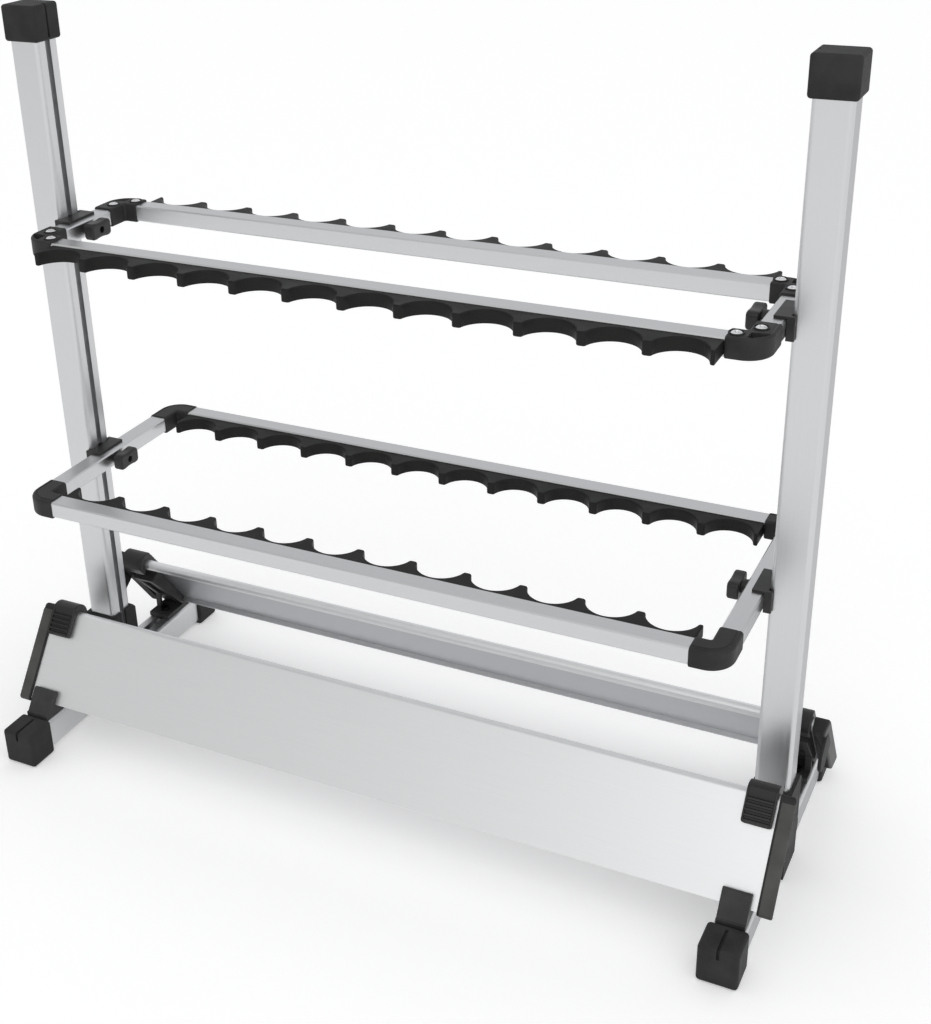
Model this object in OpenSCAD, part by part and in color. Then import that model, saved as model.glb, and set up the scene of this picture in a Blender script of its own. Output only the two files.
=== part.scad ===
// Free-standing rack for fishing rods. Two uprights stand on two base bars. An upper and a
// lower rail frame slide on the uprights and are clamped by knobs. Scalloped strips on the
// long rails hold the rods, and two sheet panels lean against each other low between the bars.
// Origin: centre of the footprint on the floor. +X right, +Y away, +Z up.

/* [Rod strips] */
// Rod places along each strip
places = 12; // [8:1:12]
// Distance between neighbouring rod places
pitch = 38; // [37:0.5:40]
// Radius of the round notch that takes a rod
notch_r = 16.6; // [16:0.1:16.8]
// Reach of the tooth tips from the rail face
strip_depth = 17.4; // [16:0.2:18]
// Width left between the rail face and the bottom of a notch
strip_web = 3.6; // [3:0.2:5]
// Thickness of a strip
strip_t = 8.8; // [7:0.2:9.2]
// Rounding at the tooth tips
tooth_r = 1.9; // [1:0.1:2]

/* [Frames] */
// Width of a rail, seen from above
rail_w = 13; // [12.5:0.1:14]
// Height of a rail
rail_h = 11.3; // [11:0.1:12]
// Wall thickness of a rail
rail_wall = 1.4; // [1.2:0.1:1.6]
// Height of the upper rails' top over the floor, as shown
upper_z = 388; // [330:1:480]
// Height of the lower rails' top over the floor, as shown
lower_z = 212; // [140:1:260]
// Upper frame: centre to the outer face of a long rail
upper_half_w = 54; // [52:1:60]
// Lower frame: centre to the outer face of a long rail
lower_half_w = 90.2; // [86:0.2:94]

/* [Corner fittings] */
// Length of a corner fitting's arm over a long rail, from the end rail's outer face
arm_x = 23.5; // [23:0.5:26]
// Length of a corner fitting's arm over an end rail, from the long rail's outer face
arm_y = 29.5; // [27:0.5:31]
// How far a fitting stands proud of the rail's sides
proud = 0.8; // [0.7:0.1:1.2]
// How far a fitting stands proud on its screwed face
screw_proud = 1.3; // [1.2:0.1:1.8]
// Radius of the outer corner in plan
corner_r = 16; // [12:0.5:16.5]

/* [Extrusions] */
// Width of the upright and base extrusion
bar_w = 21.5; // [21.5:0.1:22]
// Depth of the extrusion, square to the face with the slot
bar_d = 23; // [22.6:0.1:24]
// Wall thickness of the extrusion
bar_wall = 1.6; // [1.4:0.1:1.8]
// Width of the slot's mouth
mouth_w = 5; // [4.8:0.1:5.4]
// Overall height
total_h = 533; // [525:1:560]

/* [Base] */
// Length of the footprint from front to rear
foot_len = 244; // [242:1:260]
// Length of a foot cap over the bar
foot_cap_l = 24; // [22:0.5:26]
// Height of a socket's top over the floor
socket_top = 68.5; // [64:0.5:74]

/* [Panels] */
// Lean of a panel from the vertical, in degrees
panel_lean = 36; // [34:0.5:37]
// Width of a panel along its slope
panel_s = 71.5; // [70:0.5:72]
// Thickness of the sheet
sheet_t = 1.5; // [1.2:0.1:1.5]
// Radius of the rolled bead along the top edge
bead_r = 4; // [3.8:0.1:4]
// Length of a panel beyond the upright's inner face, at each end
panel_over = 26; // [26:0.5:28]

/* [Knobs] */
// Radius of the clamping stud
stud_r = 2; // [1.9:0.05:2.1]
// Length of a knob's wing
wing_l = 21; // [19:0.5:24]
// Height of a knob's wing
wing_h = 10.4; // [9.6:0.1:12]

/* [Hidden] */
$fn = 64;
// Clearances: running fit of a pin in a bore, fixed fit of a piece over another, moving gap
run_gap = 0.05;
fit_gap = 0.05;
move_gap = 0.3;
// Cut depth beyond a face
over = 1;

// Frame plan
strip_hx = places * pitch / 2;
frame_hx = strip_hx + arm_x;
slide_gap = 2.5;
upright_in = frame_hx + slide_gap;
upright_mid = upright_in + bar_d / 2;
rail_hx = frame_hx - rail_w;

// Strip plan: the notch circle's centre, and the tongue that slides into the rail
notch_d = strip_web + notch_r;
tongue_h = 2.8;
tongue_head_h = 5.6;
tongue_head_t = 1.5;
tongue_back = 0.1;
rail_slot_h = tongue_h + 0.2;
rail_chamfer = 0.9;

// Corner screws
cs_r = 1.45;
cs_head_r = 3.3;
cs_head_h = 1.9;
cs_len = 6;
cs_sink = 0.6;
cs_sink_r = cs_head_r + 0.5;
cs_cross = 0.9;
cs_collar_r = cs_sink_r + 0.9;
cs_collar_h = 0.8;
cs_in = 2;
cs_x = strip_hx + cs_collar_r;
cs_y = 19;
pocket_l = 9;
pocket_w = 4.6;
pocket_deep = 5;
pocket_off = 0.8;
cs_cross_reach = 0.7;

// T-slot inside the extrusion
bar_r = 3;
lip_t = 1.8;
channel_w = 10;
channel_d = 5.2;
nut_w = channel_w - 0.8;
nut_l = 14;
nut_t = channel_d - 1;

// Base levels
foot_wall = 2.4;
bar_bottom = foot_wall;
bar_top = bar_bottom + bar_d;
foot_hy = foot_len / 2;
foot_in = foot_hy - foot_cap_l;
foot_edge = 2.6;
foot_groove_w = 2.4;
foot_groove_d = 1;
foot_groove_end = 3;

// Top caps
cap_wall = 2.2;
cap_top = 2.4;
cap_h = 23.8;
cap_edge = 2.2;
cap_groove_w = 2;
cap_groove_d = 0.8;
upright_top = total_h - cap_top;

// Sockets
socket_wall = 1.5;
socket_hy = 15.8;
socket_neck_hy = 11.9;
socket_chamfer = 3.5;
socket_back = 2.4;
socket_taper = 0.8;

// Panels: the lower outer edge, then the bead's centre as distances off and up the slope
panel_y = foot_in - 11;
panel_z = 34;
bead_t = -bead_r;
bead_s = panel_s - bead_r;
bead_bore = 2.5;
hem_t = 5;
panel_hx = upright_in + panel_over;
end_cap_l = 9.2;
end_cap_lap = 1;
end_cap_in = -9.3;
end_cap_out = 1.4;
end_cap_low = -2.5;
end_cap_high = 72.5;
end_cap_r = 3;
lug_in = -18.5;
lug_s = 51.5;
lug_r = 10.5;
lug_t = 3.5;
spigot_l = 12;

// Screws of the base
bs_r = 2;
bs_head_r = 3.5;
bs_head_h = 2.4;
bs_len = 10.8;
bs_sink = 3.1;
bs_key_r = 1.8;
bs_gap = 0.1;
bs_socket_z = 48;
bs_socket_in = 14;
bs_socket_x = upright_in + bs_socket_in;
bs_pad_in = 19;
bs_pad_y = panel_y - bs_pad_in;

// Latches
latch_x0 = upright_in + 4.5;
latch_w = 19.5;
latch_x1 = latch_x0 + latch_w;
latch_r = 9.8;
latch_back = 8.4;
latch_leg_t = 4;
latch_low = 50;
latch_open = 20;
rib_n = 5;
rib_s = latch_low + 0.8;
rib_step = 2.7;
rib_w = 1.5;
rib_proud = 0.9;

// Panel brackets
br_x0 = upright_in + 2.5;
br_w = 18.7;
br_x1 = br_x0 + br_w;
pad_gap = 0.4;
pad_out = foot_in - pad_gap;
pad_back = 27;
pad_in = panel_y - pad_back;
pad_t = 4;
strut_low = -7.4;
strut_high = -12.9;
strut_top = 54;
strut_groove_d = 2.4;
strut_groove_low = 18;
strut_groove_top = 49;
hook_out = 4.5;
hook_top = 10;
seat_in = 0.6;
post_back = 16.6;
post_in = panel_y - post_back;
post_t = 2.4;
post_w = 4.6;
post_up = 12;
post_top = panel_z + post_up;

// Sliders
lip_in = 7.5;
slider_hy = 14;
slider_up = 1.6;
slider_down = 13;
slider_wrap = 2.4;

// Knobs
knob_t = 7.6;
knob_face = 3.3;
knob_r = 3.6;
neck_r = 4.6;
knob_hole_r = 2.3;
knob_hole_d = 3;
waist_r = 12;
waist_h = 8.2;
stud_tip = upright_in + lip_t + channel_d - 0.4;

// Colours
alu = "#C9CACB";
black = "#2B2B2A";
dark = "#3C3C3B";
grey = "#555553";
steel = "#D5D6D8";

// Every piece is drawn for the front right and mirrored to its own side.
module side(x, y = -1) {
    mirror([x < 0 ? 1 : 0, 0, 0])
        mirror([0, y > 0 ? 1 : 0, 0])
            children();
}

// Outline extruded along X: its first axis lies along Y and its second along Z.
module along_x(x0, x1) {
    translate([x0, 0, 0])
        rotate([90, 0, 90])
            linear_extrude(x1 - x0)
                children();
}

// Outline extruded along Y: its first axis lies along X and its second along Z.
module along_y(y0, y1) {
    translate([0, y1, 0])
        rotate([90, 0, 0])
            linear_extrude(y1 - y0)
                children();
}

// Rectangle with round corners.
module round_rect(w, h, r) {
    square([w - 2 * r, h], center = true);
    square([w, h - 2 * r], center = true);
    for (i = [-1, 1], j = [-1, 1])
        translate([i * (w / 2 - r), j * (h / 2 - r)])
            circle(r);
}

// Rectangle with bevelled corners.
module cut_rect(w, h, c) {
    a = w / 2;
    b = h / 2;
    polygon([[a - c, -b], [a, c - b], [a, b - c], [a - c, b],
             [c - a, b], [-a, b - c], [-a, c - b], [c - a, -b]]);
}

// Box with all its edges rounded, between two opposite corners.
module soft_box(lo, hi, r) {
    s = hi - lo;
    translate((lo + hi) / 2)
        intersection() {
            linear_extrude(s.z, center = true)
                round_rect(s.x, s.y, r);
            rotate([90, 0, 0])
                linear_extrude(s.y, center = true)
                    round_rect(s.x, s.z, r);
            rotate([90, 0, 90])
                linear_extrude(s.x, center = true)
                    round_rect(s.y, s.z, r);
        }
}

// Section of the extrusion. The slot's face is at the top and the section hangs below it.
module bar_section() {
    difference() {
        translate([0, -bar_d / 2])
            round_rect(bar_w, bar_d, bar_r);
        difference() {
            translate([0, -bar_d / 2])
                square([bar_w - 2 * bar_wall, bar_d - 2 * bar_wall], center = true);
            translate([-channel_w / 2 - bar_wall, -lip_t - channel_d - bar_wall])
                square([channel_w + 2 * bar_wall, lip_t + channel_d + bar_wall]);
        }
        translate([-channel_w / 2, -lip_t - channel_d])
            square([channel_w, channel_d]);
        translate([-mouth_w / 2, -lip_t - over])
            square([mouth_w, lip_t + 2 * over]);
    }
}

// Solid outline of the extrusion with a clearance all round.
module bar_outline(gap) {
    translate([0, -bar_d / 2])
        round_rect(bar_w + 2 * gap, bar_d + 2 * gap, bar_r);
}

// Cylinder along X, Y or Z between two stations.
module rod_x(x0, x1, r) {
    translate([x0, 0, 0])
        rotate([0, 90, 0])
            cylinder(h = x1 - x0, r = r);
}

module rod_y(y0, y1, r) {
    translate([0, y1, 0])
        rotate([90, 0, 0])
            cylinder(h = y1 - y0, r = r);
}

// Base bar, with the slot up. The nuts of the panel brackets sit in the slot.
module base_bar() {
    color(alu)
        translate([upright_mid, 0, bar_top])
            along_y(-foot_hy + foot_wall, foot_hy - foot_wall)
                bar_section();
}

// Foot cap: a cup over the end of the base bar with a groove over its top and front.
module foot() {
    x0 = upright_mid - bar_w / 2 - foot_wall;
    x1 = upright_mid + bar_w / 2 + foot_wall;
    color(dark)
        difference() {
            soft_box([x0, -foot_hy, 0], [x1, -foot_in, bar_top + foot_wall], foot_edge);
            translate([upright_mid, 0, bar_top])
                along_y(-foot_hy + foot_wall, -foot_in + over)
                    bar_outline(fit_gap);
            translate([upright_mid - foot_groove_w / 2, -foot_hy - over, bar_top + foot_wall - foot_groove_d])
                cube([foot_groove_w, foot_cap_l - foot_groove_end, 2 * foot_groove_d]);
            translate([upright_mid - foot_groove_w / 2, -foot_hy - over, bar_top - bar_d / 4])
                cube([foot_groove_w, foot_groove_d + over, bar_d / 2]);
        }
}

// Upright: stands on the base bar with its slot towards the middle of the rack.
module upright() {
    color(alu)
        difference() {
            translate([upright_in, 0, bar_top])
                linear_extrude(upright_top - bar_top)
                    rotate(90)
                        bar_section();
            translate([bs_socket_x, 0, bs_socket_z])
                rod_y(-bar_w, bar_w, bs_r + bs_gap);
        }
}

// Top cap: a cup over the upright with a groove in line with the slot.
module top_cap() {
    z0 = total_h - cap_h;
    color(dark)
        difference() {
            soft_box([upright_in - cap_wall, -bar_w / 2 - cap_wall, z0],
                     [upright_in + bar_d + cap_wall, bar_w / 2 + cap_wall, total_h], cap_edge);
            translate([upright_in, 0, z0 - over])
                linear_extrude(cap_h - cap_top + over)
                    rotate(90)
                        bar_outline(fit_gap);
            translate([upright_in - cap_wall - over, -cap_groove_w / 2, z0 - over])
                cube([cap_groove_d + over, cap_groove_w, cap_h + 2 * over]);
        }
}

// Socket: straddles the base bar and takes the foot of the upright.
module socket() {
    neck = socket_top - socket_chamfer;
    color(dark)
        difference() {
            along_x(upright_in - socket_wall, upright_in + bar_d + socket_back)
                polygon([[-socket_hy, bar_bottom], [socket_hy, bar_bottom],
                         [socket_hy - socket_taper, neck], [socket_neck_hy, socket_top],
                         [-socket_neck_hy, socket_top], [socket_taper - socket_hy, neck]]);
            translate([upright_mid, 0, bar_top])
                along_y(-socket_hy - over, socket_hy + over)
                    bar_outline(fit_gap);
            translate([upright_in, 0, bar_top])
                linear_extrude(socket_top)
                    rotate(90)
                        bar_outline(fit_gap);
            translate([upright_in - socket_wall - over, -mouth_w / 2, bar_top + bar_r])
                cube([socket_wall + 2 * over, mouth_w, socket_top]);
            translate([bs_socket_x, 0, bs_socket_z]) {
                rod_y(-socket_hy - over, socket_hy + over, bs_r + bs_gap);
                rod_y(-socket_hy - over, bs_sink - socket_hy, bs_head_r + move_gap);
                rod_y(socket_hy - bs_sink, socket_hy + over, bs_head_r + move_gap);
            }
        }
}

// One screw of the base, head up, with the underside of its head at the origin.
module base_screw() {
    difference() {
        union() {
            cylinder(h = bs_head_h, r = bs_head_r);
            translate([0, 0, -bs_len])
                cylinder(h = bs_len + bs_head_h / 2, r = bs_r);
        }
        translate([0, 0, bs_head_h / 2])
            cylinder(h = bs_head_h, r = bs_key_r, $fn = 6);
    }
}

// The screws at the sockets, front and rear, and one through each panel bracket's pad.
module base_screws() {
    color(steel)
        for (x = [-1, 1], y = [-1, 1])
            side(x, y) {
                translate([bs_socket_x, bs_sink - socket_hy, bs_socket_z])
                    rotate([90, 0, 0])
                        base_screw();
                translate([upright_mid, -bs_pad_y, bar_top + pad_t])
                    base_screw();
            }
}

// A T-nut: a block with a bore, drawn flat with its upper face at the origin.
module tee_nut(bore) {
    difference() {
        translate([-nut_w / 2, -nut_l / 2, -nut_t])
            cube([nut_w, nut_l, nut_t]);
        translate([0, 0, -nut_t - over])
            cylinder(h = nut_t + 2 * over, r = bore);
    }
}

module base_nuts() {
    color(steel)
        for (x = [-1, 1], y = [-1, 1])
            side(x, y)
                translate([upright_mid, -bs_pad_y, bar_top - lip_t])
                    tee_nut(bs_r + bs_gap);
}

// Puts an outline drawn as (off the slope, up the slope) on the leaning plane. The first axis
// of the result points outwards and the second upwards.
module on_slope() {
    translate([panel_y, panel_z])
        rotate(panel_lean)
            children();
}

// Draws an outline of (outwards, up) for the front, where outwards is -Y.
module front_outline(x0, x1) {
    mirror([0, 1, 0])
        along_x(x0, x1)
            children();
}

// Outline of a panel with a clearance all round: sheet, hem at the bottom and bead at the top.
module panel_outline(gap) {
    translate([-sheet_t - gap, -gap])
        square([sheet_t + 2 * gap, bead_s]);
    translate([-hem_t - gap, -gap])
        square([hem_t + 2 * gap, sheet_t + 2 * gap]);
    translate([bead_t, bead_s])
        circle(bead_r + gap);
}

// Panel with a hollow bead.
module panel() {
    color(alu)
        front_outline(-panel_hx, panel_hx)
            on_slope()
                difference() {
                    panel_outline(0);
                    translate([bead_t, bead_s])
                        circle(bead_bore);
                }
}

// Outline of an end cap.
module cap_outline() {
    translate([(end_cap_in + end_cap_out) / 2, (end_cap_low + end_cap_high) / 2])
        round_rect(end_cap_out - end_cap_in, end_cap_high - end_cap_low, end_cap_r);
}

// End cap: laps over the short edge of a panel, with a spigot in the bead and a round lug
// that points inwards.
module end_cap() {
    color(grey) {
        front_outline(panel_hx, panel_hx + end_cap_l)
            on_slope()
                cap_outline();
        front_outline(panel_hx - end_cap_lap, panel_hx)
            on_slope()
                difference() {
                    cap_outline();
                    panel_outline(fit_gap);
                }
        front_outline(panel_hx - spigot_l, panel_hx + end_cap_l / 2)
            on_slope()
                translate([bead_t, bead_s])
                    circle(bead_bore - fit_gap);
        front_outline(panel_hx + end_cap_l - lug_t, panel_hx + end_cap_l)
            on_slope() {
                translate([lug_in, lug_s])
                    circle(lug_r);
                translate([lug_in, lug_s - lug_r])
                    square([-lug_in, 2 * lug_r]);
            }
    }
}

// Latch: turns on the bead. Its ribbed leg lies on the panel's outer face.
module latch() {
    leg_in_t = bead_r + move_gap;
    leg_out_t = leg_in_t + latch_leg_t;
    leg_low = latch_low - bead_s;
    color(black)
        front_outline(latch_x0, latch_x1)
            on_slope()
                translate([bead_t, bead_s])
                    difference() {
                        union() {
                            intersection() {
                                circle(latch_r);
                                translate([-latch_back, -latch_r])
                                    square([latch_back + leg_out_t, 2 * latch_r]);
                            }
                            translate([leg_in_t, leg_low])
                                square([latch_leg_t, -leg_low]);
                            for (i = [0:rib_n - 1])
                                translate([leg_out_t - over, rib_s - bead_s + i * rib_step])
                                    square([rib_proud + over, rib_w]);
                        }
                        circle(bead_r + run_gap);
                        polygon([[0, 0], [-2 * latch_r * cos(latch_open), -2 * latch_r * sin(latch_open)],
                                 [-2 * latch_r, -3 * latch_r], [leg_in_t, -3 * latch_r], [leg_in_t, 0]]);
                    }
}

// Outline of the bracket: pad, wedge-shaped strut along the panel's back, hook post and finger.
module bracket_outline() {
    below = strut_low + (strut_low - strut_high) / 2;
    translate([pad_in, bar_top])
        square([pad_out - pad_in, pad_t]);
    intersection() {
        on_slope() {
            difference() {
                polygon([[below, -strut_top / 2], [strut_high, strut_top],
                         [-sheet_t - move_gap, strut_top], [-sheet_t - move_gap, -strut_top / 2]]);
                translate([-hem_t - move_gap, 0])
                    square([hem_t, sheet_t + move_gap]);
            }
            polygon([[below, -strut_top / 2], [strut_low, 0], [hook_out, 0],
                     [hook_out, -strut_top / 2]]);
            translate([move_gap, -strut_top])
                square([hook_out - move_gap, strut_top + hook_top - (hook_out - move_gap) / 2]);
            translate([(hook_out + move_gap) / 2, hook_top - (hook_out - move_gap) / 2])
                circle((hook_out - move_gap) / 2);
        }
        translate([0, bar_top])
            square([pad_out, panel_s]);
    }
    on_slope()
        translate([bead_t - seat_in, strut_top - over])
            square([bead_r - sheet_t - move_gap + seat_in, bead_s - bead_r - strut_top + over]);
}

// Outline of the shallow groove along the strut's inner face.
module strut_groove() {
    slant = (strut_high - strut_low) / strut_top;
    t0 = strut_low + slant * strut_groove_low;
    t1 = strut_low + slant * strut_groove_top;
    on_slope()
        polygon([[t0 - over, strut_groove_low], [t0 + strut_groove_d, strut_groove_low],
                 [t1 + strut_groove_d, strut_groove_top], [t1 - over, strut_groove_top]]);
}

// Panel bracket: screwed to the slot of the base bar. A thin post props the strut on its
// outer side.
module panel_bracket() {
    color(black)
        difference() {
            union() {
                front_outline(br_x0, br_x1)
                    bracket_outline();
                front_outline(br_x1 - post_w, br_x1)
                    translate([post_in, bar_top])
                        square([post_t, post_top - bar_top]);
            }
            front_outline(br_x0 + post_w, br_x1 - post_w)
                strut_groove();
            translate([upright_mid, -bs_pad_y, bar_top - over])
                cylinder(h = pad_t + 2 * over, r = bs_r + bs_gap);
        }
}

// Section of a rail about its centre, with the strip's slot on the first axis's positive side.
module rail_section(slot) {
    difference() {
        cut_rect(rail_w, rail_h, rail_chamfer);
        square([rail_w - 2 * rail_wall, rail_h - 2 * rail_wall], center = true);
        if (slot)
            translate([rail_w / 2 - rail_wall - over, -rail_slot_h / 2])
                square([rail_wall + 2 * over, rail_slot_h]);
    }
}

// Pilot holes of the corner screws in a rail's wall, at the top or at the underside.
module pilot(face) {
    translate([0, 0, face > 0 ? rail_h / 2 - rail_wall - over : -rail_h / 2 - over])
        cylinder(h = rail_wall + 2 * over, r = cs_r + run_gap);
}

// Front rail. strip_side is -1 where the strip points outwards and 1 where it points inwards.
module long_rail(z, hy, strip_side, face) {
    color(alu)
        translate([0, rail_w / 2 - hy, z - rail_h / 2])
            difference() {
                along_x(-rail_hx, rail_hx)
                    scale_side(strip_side)
                        rail_section(true);
                for (x = [-cs_x, cs_x])
                    translate([x, 0, 0])
                        pilot(face);
            }
}

// Mirrors an outline about its second axis when the side is negative.
module scale_side(s) {
    mirror([s < 0 ? 1 : 0, 0])
        children();
}

// Right rail between the two long rails, bored for the clamping stud.
module end_rail(z, hy, face) {
    color(alu)
        translate([frame_hx - rail_w / 2, 0, z - rail_h / 2])
            difference() {
                along_y(rail_w - hy, hy - rail_w)
                    rail_section(false);
                rod_x(-rail_w, rail_w, stud_r + run_gap);
                for (y = [cs_y - hy, hy - cs_y])
                    translate([-cs_in, y, 0])
                        pilot(face);
            }
}

// Places of a corner fitting's two screws. The one on the end rail is off its middle, inwards.
function screw_places(hy) = [[cs_x, rail_w / 2 - hy], [frame_hx - rail_w / 2 - cs_in, cs_y - hy]];

// Corner fitting of the front right, with the screwed face up. The rails plug into its arms.
module corner_shape(hy) {
    x1 = frame_hx + proud;
    y0 = -hy - proud;
    h0 = -rail_h / 2 - proud;
    h1 = rail_h / 2 + screw_proud;
    difference() {
        union() {
            translate([0, 0, h0])
                linear_extrude(h1 - h0)
                    difference() {
                        union() {
                            translate([strip_hx, y0])
                                square([x1 - strip_hx, rail_w + 2 * proud]);
                            translate([x1 - rail_w - 2 * proud, y0])
                                square([rail_w + 2 * proud, arm_y + proud]);
                        }
                        difference() {
                            translate([x1 - corner_r, y0 - over])
                                square([corner_r + over, corner_r + over]);
                            translate([x1 - corner_r, y0 + corner_r])
                                circle(corner_r);
                        }
                    }
            for (p = screw_places(hy))
                translate([p.x, p.y, h1 - cs_sink])
                    cylinder(h = cs_sink + cs_collar_h, r = cs_collar_r);
        }
        translate([0, rail_w / 2 - hy, 0])
            along_x(strip_hx - over, rail_hx)
                square([rail_w + 2 * fit_gap, rail_h + 2 * fit_gap], center = true);
        translate([frame_hx - rail_w / 2, 0, 0])
            along_y(rail_w - hy, arm_y - hy + over)
                square([rail_w + 2 * fit_gap, rail_h + 2 * fit_gap], center = true);
        for (p = screw_places(hy))
            translate([p.x, p.y, h1]) {
                translate([0, 0, -cs_sink])
                    cylinder(h = cs_sink + cs_collar_h + over, r = cs_sink_r);
                translate([0, 0, -screw_proud - over])
                    cylinder(h = screw_proud + 2 * over, r = cs_r + run_gap);
            }
        translate([frame_hx - rail_w / 2 - pocket_off, rail_w / 2 - hy, h1 - pocket_deep])
            linear_extrude(pocket_deep + over)
                round_rect(pocket_l, pocket_w, pocket_w / 2 - 0.1);
    }
}

module corner(z, hy, face) {
    color(dark)
        translate([0, 0, z - rail_h / 2])
            mirror([0, 0, face < 0 ? 1 : 0])
                corner_shape(hy);
}

// One corner screw, head up, with the underside of its head at the origin.
module corner_screw() {
    difference() {
        union() {
            cylinder(h = cs_head_h, r = cs_head_r);
            translate([0, 0, -cs_len])
                cylinder(h = cs_len + cs_head_h / 2, r = cs_r);
        }
        for (a = [0, 90])
            rotate(a)
                translate([-cs_head_r * cs_cross_reach, -cs_cross / 2, cs_head_h / 2])
                    cube([2 * cs_head_r * cs_cross_reach, cs_cross, cs_head_h]);
    }
}

module corner_screws(z, hy, face) {
    color(steel)
        for (x = [-1, 1], y = [-1, 1], p = screw_places(hy))
            side(x, y)
                translate([0, 0, z - rail_h / 2])
                    mirror([0, 0, face < 0 ? 1 : 0])
                        translate([p.x, p.y, rail_h / 2 + screw_proud - cs_sink])
                            corner_screw();
}

// Plan of a strip: reach from the rail face along the second axis, teeth between the notches.
module strip_plan() {
    half = sqrt(notch_r * notch_r - pow(strip_depth - notch_d, 2));
    difference() {
        translate([-strip_hx, 0])
            square([2 * strip_hx, strip_depth]);
        for (i = [0:places - 1])
            translate([(i - (places - 1) / 2) * pitch, 0]) {
                translate([0, notch_d])
                    circle(notch_r);
                for (m = [0, 1])
                    mirror([m, 0])
                        difference() {
                            translate([half - over, strip_depth - tooth_r])
                                square([tooth_r + over, tooth_r + over]);
                            translate([half + tooth_r, strip_depth - tooth_r])
                                circle(tooth_r);
                        }
            }
    }
}

// Strip of the front rail, pushed with its tongue into the rail's slot.
module strip(z, hy, strip_side) {
    face_y = strip_side < 0 ? -hy : rail_w - hy;
    color(black)
        translate([0, face_y, z - rail_h / 2])
            mirror([0, strip_side < 0 ? 1 : 0, 0]) {
                translate([0, 0, -strip_t / 2])
                    linear_extrude(strip_t)
                        strip_plan();
                along_x(-strip_hx, strip_hx) {
                    translate([-rail_wall - tongue_head_t / 2, -tongue_h / 2])
                        square([rail_wall + tongue_head_t / 2 + over, tongue_h]);
                    translate([-rail_wall - tongue_back - tongue_head_t, -tongue_head_h / 2])
                        square([tongue_head_t, tongue_head_h]);
                }
            }
}

// Slider of the right end rail: a lip over the rail and two flanks around the upright's edges.
module slider(z) {
    x1 = upright_in - move_gap;
    y_in = bar_w / 2 + move_gap;
    color(black)
        difference() {
            union() {
                translate([frame_hx - lip_in, -slider_hy, z])
                    cube([x1 - frame_hx + lip_in, 2 * slider_hy, slider_up]);
                translate([frame_hx, -slider_hy, z - slider_down])
                    cube([x1 - frame_hx, 2 * slider_hy, slider_down + slider_up]);
                for (y = [-slider_hy, y_in])
                    translate([frame_hx, y, z - slider_down])
                        cube([slide_gap + slider_wrap, slider_hy - y_in, slider_down + slider_up]);
            }
            translate([0, 0, z - rail_h / 2])
                rod_x(frame_hx - over, upright_in, stud_r + run_gap);
        }
}

// T-nuts of the two clamping studs, inside the uprights' slots.
module tee_nuts(z) {
    color(steel)
        for (x = [-1, 1])
            side(x)
                translate([upright_in + lip_t + (channel_d - nut_t) / 2, 0, z - rail_h / 2])
                    rotate([0, -90, 0])
                        rotate(90)
                            tee_nut(stud_r + run_gap);
}

// Wing knob of the right end rail with its stud. The wing lies along Y.
module knob(z) {
    x1 = frame_hx - rail_w - move_gap;
    x0 = x1 - knob_face - knob_t;
    color(black)
        translate([0, 0, z - rail_h / 2])
            difference() {
                union() {
                    along_x(x0, x0 + knob_t)
                        difference() {
                            round_rect(wing_l, wing_h, knob_r);
                            for (v = [-1, 1])
                                translate([0, v * (waist_r + waist_h / 2)])
                                    circle(waist_r);
                        }
                    rod_x(x0 + knob_t - over, x1, neck_r);
                    rod_x(x0 + knob_t - over, stud_tip, stud_r);
                }
                rod_x(x0 - over, x0 + knob_hole_d, knob_hole_r);
            }
}

module left_base_bar() { side(-1) base_bar(); }
module right_base_bar() { side(1) base_bar(); }
module front_left_foot() { side(-1, -1) foot(); }
module front_right_foot() { side(1, -1) foot(); }
module rear_left_foot() { side(-1, 1) foot(); }
module rear_right_foot() { side(1, 1) foot(); }
module left_upright() { side(-1) upright(); }
module right_upright() { side(1) upright(); }
module left_top_cap() { side(-1) top_cap(); }
module right_top_cap() { side(1) top_cap(); }
module left_socket() { side(-1) socket(); }
module right_socket() { side(1) socket(); }
module front_left_panel_bracket() { side(-1, -1) panel_bracket(); }
module front_right_panel_bracket() { side(1, -1) panel_bracket(); }
module rear_left_panel_bracket() { side(-1, 1) panel_bracket(); }
module rear_right_panel_bracket() { side(1, 1) panel_bracket(); }
module front_panel() { side(1, -1) panel(); }
module rear_panel() { side(1, 1) panel(); }
module front_left_end_cap() { side(-1, -1) end_cap(); }
module front_right_end_cap() { side(1, -1) end_cap(); }
module rear_left_end_cap() { side(-1, 1) end_cap(); }
module rear_right_end_cap() { side(1, 1) end_cap(); }
module front_left_latch() { side(-1, -1) latch(); }
module front_right_latch() { side(1, -1) latch(); }
module rear_left_latch() { side(-1, 1) latch(); }
module rear_right_latch() { side(1, 1) latch(); }
module upper_front_rail() { side(1, -1) long_rail(upper_z, upper_half_w, -1, 1); }
module upper_rear_rail() { side(1, 1) long_rail(upper_z, upper_half_w, -1, 1); }
module upper_left_rail() { side(-1) end_rail(upper_z, upper_half_w, 1); }
module upper_right_rail() { side(1) end_rail(upper_z, upper_half_w, 1); }
module upper_front_left_corner() { side(-1, -1) corner(upper_z, upper_half_w, 1); }
module upper_front_right_corner() { side(1, -1) corner(upper_z, upper_half_w, 1); }
module upper_rear_left_corner() { side(-1, 1) corner(upper_z, upper_half_w, 1); }
module upper_rear_right_corner() { side(1, 1) corner(upper_z, upper_half_w, 1); }
module upper_corner_screws() { corner_screws(upper_z, upper_half_w, 1); }
module upper_front_strip() { side(1, -1) strip(upper_z, upper_half_w, -1); }
module upper_rear_strip() { side(1, 1) strip(upper_z, upper_half_w, -1); }
module upper_left_slider() { side(-1) slider(upper_z); }
module upper_right_slider() { side(1) slider(upper_z); }
module upper_tee_nuts() { tee_nuts(upper_z); }
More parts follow.
